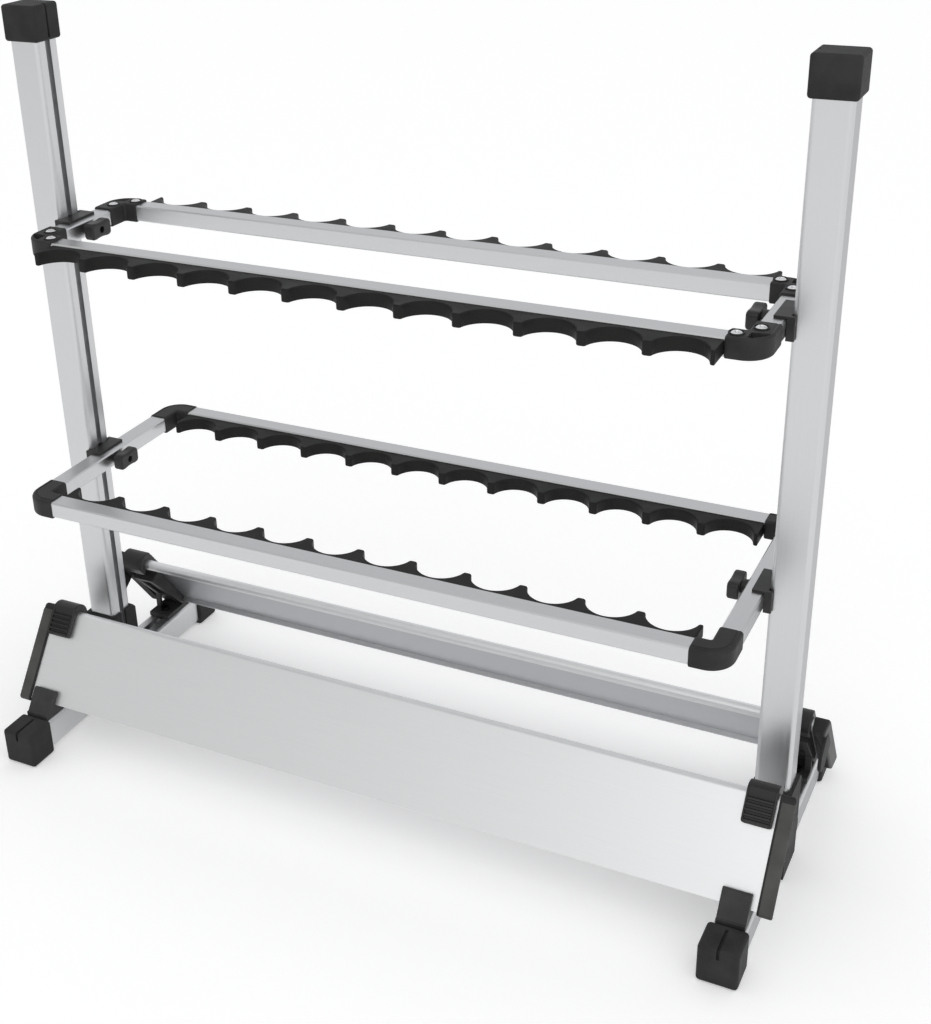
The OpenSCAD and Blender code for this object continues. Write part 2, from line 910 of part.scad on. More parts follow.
module upper_left_knob() { side(-1) knob(upper_z); }
module upper_right_knob() { side(1) knob(upper_z); }
module lower_front_rail() { side(1, -1) long_rail(lower_z, lower_half_w, 1, -1); }
module lower_rear_rail() { side(1, 1) long_rail(lower_z, lower_half_w, 1, -1); }
module lower_left_rail() { side(-1) end_rail(lower_z, lower_half_w, -1); }
module lower_right_rail() { side(1) end_rail(lower_z, lower_half_w, -1); }
module lower_front_left_corner() { side(-1, -1) corner(lower_z, lower_half_w, -1); }
module lower_front_right_corner() { side(1, -1) corner(lower_z, lower_half_w, -1); }
module lower_rear_left_corner() { side(-1, 1) corner(lower_z, lower_half_w, -1); }
module lower_rear_right_corner() { side(1, 1) corner(lower_z, lower_half_w, -1); }
module lower_corner_screws() { corner_screws(lower_z, lower_half_w, -1); }
module lower_front_strip() { side(1, -1) strip(lower_z, lower_half_w, 1); }
module lower_rear_strip() { side(1, 1) strip(lower_z, lower_half_w, 1); }
module lower_left_slider() { side(-1) slider(lower_z); }
module lower_right_slider() { side(1) slider(lower_z); }
module lower_tee_nuts() { tee_nuts(lower_z); }
module lower_left_knob() { side(-1) knob(lower_z); }
module lower_right_knob() { side(1) knob(lower_z); }

left_base_bar();
right_base_bar();
front_left_foot();
front_right_foot();
rear_left_foot();
rear_right_foot();
left_upright();
right_upright();
left_top_cap();
right_top_cap();
left_socket();
right_socket();
base_screws();
base_nuts();
front_left_panel_bracket();
front_right_panel_bracket();
rear_left_panel_bracket();
rear_right_panel_bracket();
front_panel();
rear_panel();
front_left_end_cap();
front_right_end_cap();
rear_left_end_cap();
rear_right_end_cap();
front_left_latch();
front_right_latch();
rear_left_latch();
rear_right_latch();
upper_front_rail();
upper_rear_rail();
upper_left_rail();
upper_right_rail();
upper_front_left_corner();
upper_front_right_corner();
upper_rear_left_corner();
upper_rear_right_corner();
upper_corner_screws();
upper_front_strip();
upper_rear_strip();
upper_left_slider();
upper_right_slider();
upper_tee_nuts();
upper_left_knob();
upper_right_knob();
lower_front_rail();
lower_rear_rail();
lower_left_rail();
lower_right_rail();
lower_front_left_corner();
lower_front_right_corner();
lower_rear_left_corner();
lower_rear_right_corner();
lower_corner_screws();
lower_front_strip();
lower_rear_strip();
lower_left_slider();
lower_right_slider();
lower_tee_nuts();
lower_left_knob();
lower_right_knob();
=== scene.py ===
import bmesh
import bpy
import math
import numpy as np
from mathutils import Matrix


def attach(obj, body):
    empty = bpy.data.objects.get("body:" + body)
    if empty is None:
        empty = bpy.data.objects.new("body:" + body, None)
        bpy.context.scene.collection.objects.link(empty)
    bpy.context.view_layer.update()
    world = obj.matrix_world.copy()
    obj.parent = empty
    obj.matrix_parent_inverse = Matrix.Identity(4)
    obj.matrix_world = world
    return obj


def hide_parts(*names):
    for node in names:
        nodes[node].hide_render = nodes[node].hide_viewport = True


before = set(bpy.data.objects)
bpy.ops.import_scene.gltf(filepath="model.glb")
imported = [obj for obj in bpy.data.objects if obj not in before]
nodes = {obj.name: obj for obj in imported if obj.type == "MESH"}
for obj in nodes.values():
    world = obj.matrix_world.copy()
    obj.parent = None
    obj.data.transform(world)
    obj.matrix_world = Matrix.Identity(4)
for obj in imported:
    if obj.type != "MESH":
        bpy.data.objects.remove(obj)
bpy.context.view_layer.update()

# Camera. A plain long lens, a little above the rack and to its right, as the photograph was
# taken. The lens and the shift give the photograph's framing.
CAMERA_AT = (0.42595, -0.80527, 0.6844)
YAW, PITCH, ROLL = (math.radians(a) for a in (26.963, 25.574, -1.688))
forward = np.array([-math.sin(YAW) * math.cos(PITCH), math.cos(YAW) * math.cos(PITCH), -math.sin(PITCH)])
level = np.array([math.cos(YAW), math.sin(YAW), 0.0])
square_up = np.cross(level, forward)
right = level * math.cos(ROLL) + square_up * math.sin(ROLL)
up = square_up * math.cos(ROLL) - level * math.sin(ROLL)
camera = bpy.data.objects.new("camera", bpy.data.cameras.new("camera"))
camera.data.lens = 53.09
camera.data.sensor_width = 36
camera.data.shift_x = 0.0415
camera.data.shift_y = -0.0518
camera.data.clip_start, camera.data.clip_end = 0.05, 40
place = np.eye(4)
place[:3, 0], place[:3, 1], place[:3, 2], place[:3, 3] = right, up, -forward, CAMERA_AT
camera.matrix_world = Matrix(place.tolist())
bpy.context.scene.collection.objects.link(camera)
bpy.context.scene.camera = camera
bpy.context.scene.view_settings.view_transform = "Standard"


# Studio. A white paper floor that runs out of view, white light from the front and the right,
# slightly greyer light from behind and grey light from the front left, which shade the metal as
# in the photograph, and a weak soft box in front.
def to_linear(colour):
    """sRGB hex to linear: below 0.04045 the value over 12.92, above it ((v + 0.055) / 1.055) ^ 2.4."""
    v = np.array([int(colour[i:i + 2], 16) / 255 for i in (1, 3, 5)])
    return (*np.where(v <= 0.04045, v / 12.92, ((v + 0.055) / 1.055) ** 2.4), 1.0)


def empty_material(name):
    """A material with an empty node tree. Returns both."""
    made = bpy.data.materials.new(name)
    made.use_nodes = True
    made.node_tree.nodes.clear()
    return made, made.node_tree


def add_node(tree, kind, settings=(), links=()):
    """Adds a node, sets its properties and its sockets by name or number, and links sockets to it."""
    made = tree.nodes.new(kind)
    for key, value in dict(settings).items():
        if isinstance(key, str) and hasattr(made, key):
            setattr(made, key, value)
        else:
            made.inputs[key].default_value = value
    for key, source in dict(links).items():
        tree.links.new(source, made.inputs[key])
    return made


FLOOR_HALF = 6
PAPER_GLOW = 0.25
floor_corners = [(x * FLOOR_HALF, y * FLOOR_HALF, 0) for x, y in ((-1, -1), (1, -1), (1, 1), (-1, 1))]
floor_mesh = bpy.data.meshes.new("studio_floor")
floor_mesh.from_pydata(floor_corners, [], [(0, 1, 2, 3)])
studio_floor = bpy.data.objects.new("studio_floor", floor_mesh)
bpy.context.scene.collection.objects.link(studio_floor)
# the paper is lit as paper is, and seen a little whiter than lit, so the shadow stays
white_paper, paper_tree = empty_material("white_paper")
rays = add_node(paper_tree, "ShaderNodeLightPath")
seen = add_node(paper_tree, "ShaderNodeMath", {"operation": "MAXIMUM"},
                {0: rays.outputs["Is Camera Ray"], 1: rays.outputs["Is Glossy Ray"]})
seen = add_node(paper_tree, "ShaderNodeMath", {"operation": "MAXIMUM"},
                {0: seen.outputs[0], 1: rays.outputs["Is Transmission Ray"]})
extra = add_node(paper_tree, "ShaderNodeMath", {"operation": "MULTIPLY", 1: PAPER_GLOW}, {0: seen.outputs[0]})
paper = add_node(paper_tree, "ShaderNodeBsdfDiffuse", {"Color": to_linear("#F4F4F4")})
white = add_node(paper_tree, "ShaderNodeEmission", {"Color": to_linear("#FFFFFF")},
                 {"Strength": extra.outputs[0]})
both = add_node(paper_tree, "ShaderNodeAddShader", links={0: paper.outputs[0], 1: white.outputs[0]})
add_node(paper_tree, "ShaderNodeOutputMaterial", links={"Surface": both.outputs[0]})
floor_mesh.materials.append(white_paper)

world = bpy.data.worlds.new("studio")
bpy.context.scene.world = world
world.use_nodes = True
sky = world.node_tree
sky.nodes.clear()
toward = add_node(sky, "ShaderNodeTexCoord")
axes = add_node(sky, "ShaderNodeSeparateXYZ", links={"Vector": toward.outputs["Generated"]})
behind = add_node(sky, "ShaderNodeMapRange",
                  {"interpolation_type": "SMOOTHSTEP", "From Min": -0.35, "From Max": 0.6},
                  {"Value": axes.outputs["Y"]})
shade = add_node(sky, "ShaderNodeMix", {"data_type": "RGBA", 6: to_linear("#FFFFFF"), 7: to_linear("#E6E7E9")},
                 {"Factor": behind.outputs[0]})
leftwards = add_node(sky, "ShaderNodeMapRange",
                     {"interpolation_type": "SMOOTHSTEP", "From Min": 0.15, "From Max": -0.75, "To Max": 0.75},
                     {"Value": axes.outputs["X"]})
in_front = add_node(sky, "ShaderNodeMapRange", {"From Min": 0.4, "From Max": -0.5},
                    {"Value": axes.outputs["Y"]})
front_left = add_node(sky, "ShaderNodeMath", {"operation": "MULTIPLY"},
                      {0: leftwards.outputs[0], 1: in_front.outputs[0]})
shade_left = add_node(sky, "ShaderNodeMix", {"data_type": "RGBA", 7: to_linear("#B4B4B3")},
                      {"Factor": front_left.outputs[0], 6: shade.outputs[2]})
glow = add_node(sky, "ShaderNodeBackground", {"Strength": 0.95}, {"Color": shade_left.outputs[2]})
add_node(sky, "ShaderNodeOutputWorld", links={"Surface": glow.outputs[0]})


def soft_box_lamp(name, spot, aim, size, watts):
    """A square area lamp at a point, turned to face another point."""
    data = bpy.data.lights.new(name, "AREA")
    data.shape, data.size, data.energy = "SQUARE", size, watts
    lamp = bpy.data.objects.new(name, data)
    away = np.array(spot, float) - np.array(aim, float)
    z = away / np.linalg.norm(away)
    x = np.cross((0, 0, 1), z)
    x = x / np.linalg.norm(x)
    turn = np.eye(4)
    turn[:3, 0], turn[:3, 1], turn[:3, 2], turn[:3, 3] = x, np.cross(z, x), z, spot
    lamp.matrix_world = Matrix(turn.tolist())
    bpy.context.scene.collection.objects.link(lamp)


soft_box_lamp("soft_box_front", (0.5, -2.0, 1.7), (0, 0, 0.25), 1.3, 5)


# Uprights and base bars. One aluminium extrusion with a T-slot, blasted and anodised, so it is
# satin with faint draw lines along its length. The outer sides are drawn greyer as painted shade.
def anodised_aluminium(name, along, colour="#D2D3D4", roughness=0.36):
    """Satin anodised aluminium: a metal whose roughness and tone vary in lines along the drawing direction."""
    made, tree = empty_material(name)
    here = add_node(tree, "ShaderNodeTexCoord")
    # draw lines 0.5 mm apart and about 60 mm long, and a blasted grain of 0.6 mm
    stretch = tuple(16.0 if i == "xyz".index(along) else 2000.0 for i in range(3))
    lines_at = add_node(tree, "ShaderNodeMapping", {"Scale": stretch}, {"Vector": here.outputs["Object"]})
    lines = add_node(tree, "ShaderNodeTexNoise", {"Scale": 1.0, "Detail": 2.0}, {"Vector": lines_at.outputs[0]})
    grain = add_node(tree, "ShaderNodeTexNoise", {"Scale": 1700.0, "Detail": 2.0},
                     {"Vector": here.outputs["Object"]})
    blend = add_node(tree, "ShaderNodeMix", {"Factor": 0.45}, {"A": lines.outputs[0], "B": grain.outputs[0]})
    rough = add_node(tree, "ShaderNodeMapRange", {"From Min": 0.3, "From Max": 0.7, "To Min": roughness - 0.05,
                     "To Max": roughness + 0.07}, {"Value": blend.outputs[0]})
    dark = tuple(np.array(to_linear(colour)) * (0.94, 0.94, 0.94, 1))
    tone = add_node(tree, "ShaderNodeMix", {"data_type": "RGBA", 6: dark, 7: to_linear(colour)},
                    {"Factor": lines.outputs[0]})
    relief = add_node(tree, "ShaderNodeBump", {"Strength": 0.06, "Distance": 0.0002},
                      {"Height": blend.outputs[0]})
    body = add_node(tree, "ShaderNodeBsdfPrincipled", {"Metallic": 1.0},
                    {"Base Color": tone.outputs[2], "Roughness": rough.outputs[0], "Normal": relief.outputs[0]})
    add_node(tree, "ShaderNodeOutputMaterial", links={"Surface": body.outputs[0]})
    return made


def dress(node, material, shade_material=None, looking=(0, 0, 1)):
    """Gives a CAD node a material, and a greyer one as painted shade on the flat faces that look in a
    direction.
    """
    mesh = nodes[node].data
    mesh.materials.clear()
    mesh.materials.append(material)
    if shade_material:
        mesh.materials.append(shade_material)
        normals = np.empty(len(mesh.polygons) * 3)
        mesh.polygons.foreach_get("normal", normals)
        mesh.polygons.foreach_set("material_index", (normals.reshape(-1, 3) @ looking > 0.999).astype(int))


HANDS = {"left": -1, "right": 1}
# the outer sides' grey is painted shade: the same anodised aluminium drawn darker on the faces that look
# outwards
OUTER_PAINTED_SHADE_GREY, OUTER_ROUGHNESS = "#B6B7B9", 0.42
aluminium_z = anodised_aluminium("anodised_aluminium_upright", "z")
aluminium_y = anodised_aluminium("anodised_aluminium_base_bar", "y")
painted_shade_upright_side = anodised_aluminium("anodised_aluminium_upright_painted_shade_side", "z", OUTER_PAINTED_SHADE_GREY, OUTER_ROUGHNESS)
painted_shade_bar_side = anodised_aluminium("anodised_aluminium_base_bar_painted_shade_side", "y", OUTER_PAINTED_SHADE_GREY, OUTER_ROUGHNESS)
for hand, sx in HANDS.items():
    dress(f"{hand}_upright", aluminium_z, painted_shade_upright_side, (sx, 0, 0))
    dress(f"{hand}_base_bar", aluminium_y, painted_shade_bar_side, (sx, 0, 0))


# Foot caps. Cups moulded in black ABS and pushed over the ends of the base bars, with round
# edges all over and a groove along the top that runs down the front.
def moulded_abs(name, colour, roughness, shine, grain=0.05):
    """Moulded ABS with a spark-eroded grain: soft bumps 0.8 mm apart over broad changes of tone and gloss."""
    made, tree = empty_material(name)
    here = add_node(tree, "ShaderNodeTexCoord")
    # the real grain is 0.1 to 0.2 mm; it is drawn four times as coarse so that it shows
    pits = add_node(tree, "ShaderNodeTexNoise", {"Scale": 1250.0, "Detail": 3.0},
                    {"Vector": here.outputs["Object"]})
    wear = add_node(tree, "ShaderNodeTexNoise", {"Scale": 60.0, "Detail": 4.0},
                    {"Vector": here.outputs["Object"]})
    rough = add_node(tree, "ShaderNodeMapRange", {"From Min": 0.3, "From Max": 0.7, "To Min": roughness - 0.07,
                     "To Max": roughness + 0.08}, {"Value": wear.outputs[0]})
    cloudy = add_node(tree, "ShaderNodeMapRange", {"From Min": 0.35, "From Max": 0.65},
                      {"Value": wear.outputs[0]})
    lighter = tuple(np.array(to_linear(colour)) * (1.5, 1.5, 1.5, 1))
    tone = add_node(tree, "ShaderNodeMix", {"data_type": "RGBA", 6: to_linear(colour), 7: lighter},
                    {"Factor": cloudy.outputs[0]})
    relief = add_node(tree, "ShaderNodeBump", {"Strength": grain * 4, "Distance": 0.0003},
                      {"Height": pits.outputs[0]})
    body = add_node(tree, "ShaderNodeBsdfPrincipled", {"IOR": 1.53, "Specular IOR Level": shine},
                    {"Base Color": tone.outputs[2], "Roughness": rough.outputs[0], "Normal": relief.outputs[0]})
    add_node(tree, "ShaderNodeOutputMaterial", links={"Surface": body.outputs[0]})
    return made


def place_piece(name, mesh, material, body, replaced, bevel=0):
    """Puts a mesh in the scene on a body, for the CAD nodes that it replaces. A bevel in millimetres rounds
    every edge over 30 degrees."""
    mesh.materials.append(material)
    made = bpy.data.objects.new(name, mesh)
    if bevel:
        easing = made.modifiers.new("eased_edges", "BEVEL")
        easing.width, easing.segments, easing.limit_method = bevel / 1000, 3, "ANGLE"
        easing.angle_limit, easing.use_clamp_overlap = math.radians(30), True
    made.modifiers.new("even_shading", "WEIGHTED_NORMAL").keep_sharp = True
    bpy.context.scene.collection.objects.link(made)
    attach(made, body)
    if replaced:
        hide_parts(*replaced)


def make_piece(name, parts, material, body, replaced=(), mirror=(1, 1)):
    """Puts parts, each points in millimetres and blocks of faces, into one mesh and mirrors it to its side of
    the rack. A negative volume means the faces look inwards, so they are turned. Edges over 32 degrees stay
    sharp."""
    starts = np.cumsum([0] + [len(points) for points, _ in parts])
    points = np.concatenate([points for points, _ in parts]) * (mirror[0] / 1000, mirror[1] / 1000, 0.001)
    faces = [face for (_, blocks), start in zip(parts, starts) for block in blocks
             for face in (block + start).tolist()]
    mesh = bpy.data.meshes.new(name)
    mesh.from_pydata(points.tolist(), [], faces)
    shape = bmesh.new()
    shape.from_mesh(mesh)
    if shape.calc_volume(signed=True) < 0:
        bmesh.ops.reverse_faces(shape, faces=shape.faces)
    shape.to_mesh(mesh)
    shape.free()
    mesh.polygons.foreach_set("use_smooth", np.ones(len(mesh.polygons), bool))
    mesh.set_sharp_from_angle(angle=math.radians(32))
    place_piece(name, mesh, material, body, replaced)


def rounded_box(lo, hi, r, cuts, steps=6):
    """A box between two corners with all edges rounded, as six grids. A point is the grid's point on the box
    drawn in by r, plus r times the unit of (a, b, 1), where a and b are 0 on the flat part and the tangent
    of 0 to 45 degrees over the edges. cuts adds grid lines. Returns points, faces and outward directions."""
    tangents = np.tan(np.radians(np.linspace(0, 45, steps + 1)))
    flat, lean = [], []
    for low, high, extra_lines in zip(lo, hi, cuts):
        inner = np.unique([low + r, high - r, *extra_lines])
        flat.append(np.concatenate([np.full(steps, low + r), inner, np.full(steps, high - r)]))
        lean.append(np.concatenate([-tangents[:0:-1], inner * 0, tangents[1:]]))
    spots, outs, quads, start = [], [], [], 0
    for axis in range(3):
        i, j = (axis + 1) % 3, (axis + 2) % 3
        rows, columns = len(flat[i]), len(flat[j])
        for end in (-1, 1):
            spot, out = np.empty((rows, columns, 3)), np.empty((rows, columns, 3))
            spot[..., i], spot[..., j] = flat[i][:, None], flat[j][None]
            spot[..., axis] = hi[axis] - r if end > 0 else lo[axis] + r
            out[..., i], out[..., j], out[..., axis] = lean[i][:, None], lean[j][None], end
            out /= np.linalg.norm(out, axis=2, keepdims=True)
            spots.append((spot + r * out).reshape(-1, 3))
            outs.append(out.reshape(-1, 3))
            a, b = np.meshgrid(np.arange(rows - 1), np.arange(columns - 1), indexing="ij")
            here, below = a * columns + b, (a + 1) * columns + b
            square = np.stack([here, below, below + 1, here + 1], -1).reshape(-1, 4)
            quads.append(start + square[:, ::end])
            start += rows * columns
    points, first, same = np.unique(np.round(np.concatenate(spots), 4), axis=0, return_index=True,
                                    return_inverse=True)
    return points, same.reshape(-1)[np.concatenate(quads)], np.concatenate(outs)[first]


def groove_lines(middle, half, wall):
    """Grid lines along a groove: its two edges and the feet of its two slanting walls."""
    return [middle - half, middle - half + wall, middle + half - wall, middle + half]


SIDES = {"front_left": (-1, 1), "front_right": (1, 1), "rear_left": (-1, -1), "rear_right": (1, -1)}
black_abs = moulded_abs("moulded_abs_caps", "#2E2E2E", 0.58, 0.1)
bar_mid_x = 265.5
foot_lo, foot_hi, foot_edge = (bar_mid_x - 13.15, -122, 0), (bar_mid_x + 13.15, -98, 27.8), 2.6
groove_half, groove_wall, groove_depth = 1.0, 0.3, 1.7
groove_end_y, groove_end_z = -102, 20.65
points, quads, outs = rounded_box(foot_lo, foot_hi, foot_edge, (
    groove_lines(bar_mid_x, groove_half, groove_wall), [groove_end_y - groove_wall, groove_end_y],
    [groove_end_z, groove_end_z + groove_wall]))
across = np.clip((groove_half - np.abs(points[:, 0] - bar_mid_x)) / groove_wall, 0, 1)
along = (np.clip((groove_end_y - points[:, 1]) / groove_wall, 0, 1)
         * np.clip((points[:, 2] - groove_end_z) / groove_wall, 0, 1))
foot_points = points - outs * (groove_depth * across * along)[:, None]
for side, mirror in SIDES.items():
    make_piece(f"{side}_foot_cap", [(foot_points, [quads])], black_abs, "base", [f"{side}_foot"],
               mirror)

# Top caps. The same kind of cup, pushed over the upper ends of the uprights, with a fine groove
# in line with the slot that runs over the top edge.
cap_lo, cap_hi, cap_edge = (251.8, -12.95, 509.2), (279.2, 12.95, 533), 2.2
groove_half, groove_wall, groove_depth = 1.0, 0.25, 1.1
groove_end_x, groove_run_out, groove_low_z = 254.9, 0.3, cap_lo[2] + 2
points, quads, outs = rounded_box(cap_lo, cap_hi, cap_edge, (
    [groove_end_x - groove_run_out, groove_end_x], groove_lines(0, groove_half, groove_wall), []))
across = np.clip((groove_half - np.abs(points[:, 1])) / groove_wall, 0, 1)
along = np.clip((groove_end_x - points[:, 0]) / groove_run_out, 0, 1) * (points[:, 2] > groove_low_z)
cap_points = points - outs * (groove_depth * across * along)[:, None]
for hand, sx in HANDS.items():
    make_piece(f"{hand}_upright_cap", [(cap_points, [quads])], black_abs, "base",
               [f"{hand}_top_cap"], (sx, 1))


# Sockets. Moulded black ABS shoes that straddle the base bar and hold the foot of an upright.
# They are screwed from the front and the rear, and their edges are slightly round.
def eased_copy(name, node, material, body, bevel=0.5):
    """Replaces a CAD node by a copy of its mesh with doubles merged, flat faces joined and round edges."""
    mesh = bpy.data.meshes.new(name)
    shape = bmesh.new()
    shape.from_mesh(nodes[node].data)
    bmesh.ops.remove_doubles(shape, verts=shape.verts, dist=1e-6)
    bmesh.ops.dissolve_limit(shape, angle_limit=math.radians(0.5), verts=shape.verts, edges=shape.edges)
    shape.to_mesh(mesh)
    shape.free()
    if "custom_normal" in mesh.attributes:
        mesh.attributes.remove(mesh.attributes["custom_normal"])
    mesh.polygons.foreach_set("use_smooth", np.ones(len(mesh.polygons), bool))
    mesh.polygons.foreach_set("material_index", np.zeros(len(mesh.polygons), int))
    place_piece(name, mesh, material, body, [node], bevel)


for hand in HANDS:
    eased_copy(f"{hand}_upright_socket", f"{hand}_socket", black_abs, "base")


# Panels. Aluminium sheet 1.5 mm thick, drawn with a bead along the top edge and a hem along the
# bottom one, and anodised a little brighter than the bars. The inner sides are drawn greyer as painted shade.
PANEL_LEAN = math.radians(36)
sheet = anodised_aluminium("anodised_aluminium_sheet", "x", "#ECEDEE", 0.4)
# the inner sides' grey is painted shade: the same sheet drawn darker where it faces into the rack
painted_shade_inner_sheet = anodised_aluminium("anodised_aluminium_sheet_painted_shade_inner_side", "x", "#C3C4C7", 0.42)
for face, inwards in (("front", 1), ("rear", -1)):
    dress(f"{face}_panel", sheet, painted_shade_inner_sheet, (0, inwards * math.cos(PANEL_LEAN), -math.sin(PANEL_LEAN)))


# End caps. A carrier in black ABS laps over the short edge of a panel, closes the bead and
# has a round lug that points inwards. Its black lap along the panel's edge is painted shade of the
# crevice there. A cover in dark grey ABS with drafted sides lies on it.
def arc(cx, cy, r, start, end, n=8):
    """Points on a circle from a start to an end angle in degrees: centre plus r times (cos, sin)."""
    t = np.radians(np.linspace(start, end, n))
    return np.stack([cx + r * np.cos(t), cy + r * np.sin(t)], 1)


def skin(rings):
    """Rings of points (rings x points x 3), each joined to the next by four-sided faces, closed at both
    ends."""
    rows, m = rings.shape[:2]
    i, j = np.meshgrid(np.arange(rows - 1), np.arange(m), indexing="ij")
    k = (j + 1) % m
    walls = np.stack([i * m + j, i * m + k, (i + 1) * m + k, (i + 1) * m + j], -1).reshape(-1, 4)
    ends = np.stack([np.arange(m)[::-1], np.arange((rows - 1) * m, rows * m)])
    return rings.reshape(-1, 3), [walls, ends]


def eased_rings(outline, near, far, edge_near, edge_far, steps=6, between=()):
    """An outline (counter-clockwise) carried along a third axis from near to far. At an end the ring is drawn
    in along its corners' bisectors by e (1 - sin t) at depth e (1 - cos t), t from 0 to 90 degrees, so both
    ends get quarter-round edges of radius e. Returns rings of (u, v, w)."""
    p = np.asarray(outline, float)
    p = p[np.hypot(*(np.roll(p, -1, 0) - p).T) > 1e-6]
    a, b = p - np.roll(p, 1, 0), np.roll(p, -1, 0) - p
    na = np.stack([-a[:, 1], a[:, 0]], 1) / np.hypot(*a.T)[:, None]
    nb = np.stack([-b[:, 1], b[:, 0]], 1) / np.hypot(*b.T)[:, None]
    inward = (na + nb) / np.maximum(1 + (na * nb).sum(1), 0.35)[:, None]
    t = np.radians(np.linspace(0, 90, steps))
    inset = np.concatenate([edge_near * (1 - np.sin(t)), np.zeros(len(between)),
                            edge_far * (1 - np.sin(t[::-1]))])
    depth = np.concatenate([near + edge_near * (1 - np.cos(t)), between,
                            far - edge_far * (1 - np.cos(t[::-1]))])
    uv = p[None] + inset[:, None, None] * inward[None]
    return np.concatenate([uv, np.broadcast_to(depth[:, None, None], uv.shape[:2] + (1,))], 2)


PANEL_EDGE_Y, PANEL_EDGE_Z = 87, 34


def on_slope(rings):
    """Turns (off the slope, up the slope, x) by the lean about the front panel's lower edge into (x, y, z)."""
    c, s = math.cos(PANEL_LEAN), math.sin(PANEL_LEAN)
    t, u, x = np.moveaxis(rings, -1, 0)
    return np.stack([x, s * u - c * t - PANEL_EDGE_Y, PANEL_EDGE_Z + s * t + c * u], -1)


def end_cap_bar(t_out, s_low, s_high, near, far, edge_far, edge_near=0.4, t_in=-9.3, r=2.8, draft=0.17):
    """A bar with corners of radius r across the slope, t from t_in to t_out and s from s_low to s_high, carried
    along x. Its far side leans in by draft mm per mm of depth under the outer face."""
    corners = ((t_out - r, s_high - r), (t_in + r, s_high - r), (t_in + r, s_low + r), (t_out - r, s_low + r))
    outline = np.concatenate([arc(t, s, r, 90 * i, 90 * i + 90) for i, (t, s) in enumerate(corners)])
    rings = eased_rings(outline, near, far, edge_near, edge_far)
    rings[..., 2] -= draft * (t_out - rings[..., 0]) * (rings[..., 2] - near) / (far - near)
    return skin(on_slope(rings))


grey_abs = moulded_abs("moulded_abs_end_caps", "#41413F", 0.5, 0.3)
lug_t, lug_s, lug_r = -18.5, 51.5, 10.5
lug = np.concatenate([[(0, lug_s - lug_r), (0, lug_s + lug_r)], arc(lug_t, lug_s, lug_r, 90, 270, 32)])
# the carrier is black so that its lap shows as a dark line along the panel's edge: painted shade of the crevice
# there
shade_lap_carrier = [end_cap_bar(1.1, -2.2, 72.5, 279, 288.9, 1.4),
           skin(on_slope(eased_rings(lug, 285.7, 288.2, 0.6, 0.9)))]
cover = [end_cap_bar(1.4, -2.5, 69.4, 280.3, 289.2, 1.2)]
for side, mirror in SIDES.items():
    make_piece(f"{side}_end_cap_shade_lap_carrier", shade_lap_carrier, black_abs, "base", [f"{side}_end_cap"],
               mirror)
    make_piece(f"{side}_end_cap_cover", cover, grey_abs, "base", (), mirror)

# Latches. Clips moulded in black ABS that turn on the panel's bead. A leg with five ribs for the
# thumb lies on the outer face, with round lower corners.
clip_abs = moulded_abs("moulded_abs_clips", "#1B1B1A", 0.42, 0.38)
bead_t, bead_s, seat_r, clip_r = -4, 67.5, 4.05, 9.8
latch_x, latch_half_w, rib_half_w, rib_end = 268.25, 9.75, 8.15, 0.3
leg_end, leg_in, leg_out, hook_back, corner_r = -17.5, 4.3, 8.3, -8.4, 2
ribs, rib_step, rib_w, rib_ramp, rib_rise = 5, 3.4, 2.1, 0.4, 0.9
# the outline in (t, s) from the bead's axis: leg, ribs, round the bead, hook and round seat
leg_foot = [(leg_in, leg_end), (leg_out - 0.8, leg_end), (leg_out, leg_end + 0.7)]
rib_low = leg_end + 0.8 + rib_step * np.arange(ribs)
rib_points = np.stack([rib_low, rib_low + rib_ramp, rib_low + rib_w - rib_ramp, rib_low + rib_w], 1).reshape(-1)
rib_side = np.stack([np.full(4 * ribs, leg_out), rib_points], 1)
clip = np.concatenate([leg_foot, rib_side[1:], [(leg_out, 5.2)], arc(0, 0, clip_r, 33, 148, 26),
                       [(hook_back, 5.0), (hook_back, -3.06)], arc(0, 0, seat_r, 200, 0, 26), [(leg_in, -0.3)]])
rib_lines = [latch_x - rib_half_w - rib_end, latch_x - rib_half_w, latch_x, latch_x + rib_half_w,
             latch_x + rib_half_w + rib_end]
rings = eased_rings(clip, latch_x - latch_half_w, latch_x + latch_half_w, 0.7, 0.7, 5, rib_lines)
# the ribs go out and the valleys between them in by the same rise, over the middle of the width
ridge = np.zeros(rings.shape[1])
ridge[3:2 + 4 * ribs] = np.tile([-rib_rise, rib_rise, rib_rise, -rib_rise], ribs)[1:]
rings[..., 0] += ridge * (np.abs(rings[..., 2] - latch_x) < rib_half_w + rib_end / 2)
above = np.clip(rings[..., 1] - leg_end, 0, corner_r)
pulled = 1 - (corner_r - np.sqrt(corner_r ** 2 - (corner_r - above) ** 2)) / latch_half_w
rings[..., 2] = latch_x + (rings[..., 2] - latch_x) * np.where(rings[..., 1] < leg_end + 2.5, pulled, 1)
clip_part = skin(on_slope(rings + (bead_t, bead_s, 0)))
for side, mirror in SIDES.items():
    make_piece(f"{side}_panel_latch", [clip_part], clip_abs, f"{side}_latch_body",
               [f"{side}_latch"], mirror)

# Panel brackets. Mouldings in black ABS screwed into the slot of the base bars. A hook holds the
# lower edge of a panel, and a strut lies along its back up to the bead.
bracket_abs = moulded_abs("moulded_abs_brackets", "#313131", 0.48, 0.24, 0.09)
for side in SIDES:
    eased_copy(f"{side}_bracket", f"{side}_panel_bracket", bracket_abs, "base")

